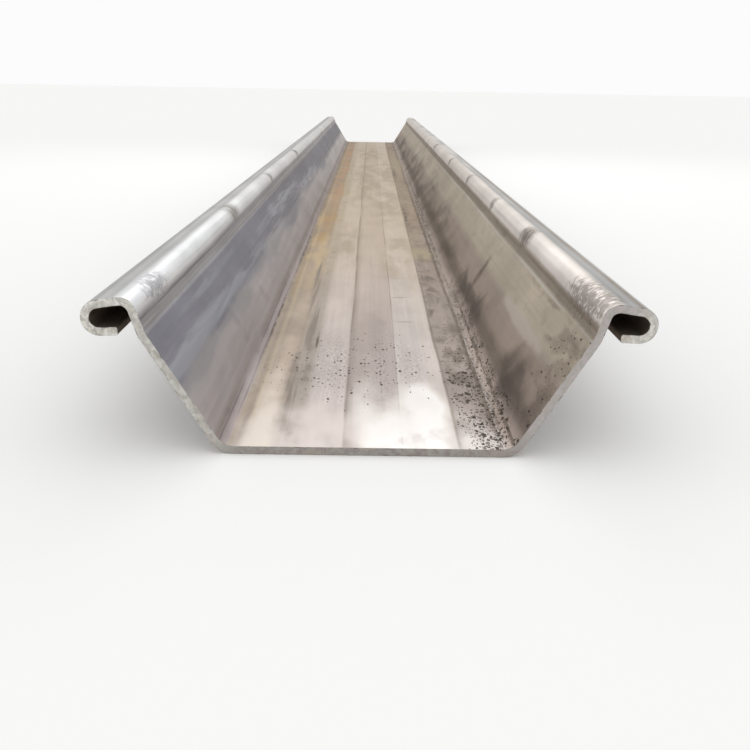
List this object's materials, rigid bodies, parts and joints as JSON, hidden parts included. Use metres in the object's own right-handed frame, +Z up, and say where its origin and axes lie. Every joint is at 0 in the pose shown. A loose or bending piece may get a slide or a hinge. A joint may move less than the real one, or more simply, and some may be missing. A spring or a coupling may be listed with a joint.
{
  "type": "steel sheet pile",
  "caption": "U-section steel sheet pile with a flat pan, sloping webs and hooked interlocks along its edges, cold formed from strip, for retaining walls and cofferdams.",
  "frame": {"origin": "centre of the footprint on the pan's underside, halfway along the pile", "axes": "+Y along the pile, away from the end the picture is taken from; +Z up, out of the pan towards the open side; +X across, to the right"},
  "size_m": [0.6566, 6, 0.188],
  "materials": {
    "mill_steel": "bare mill finish with scale streaks, light rust stains and roll marks"
  },
  "bodies": {
    "root": {"sheet_pile": "mill_steel"}
  },
  "joints": []
}
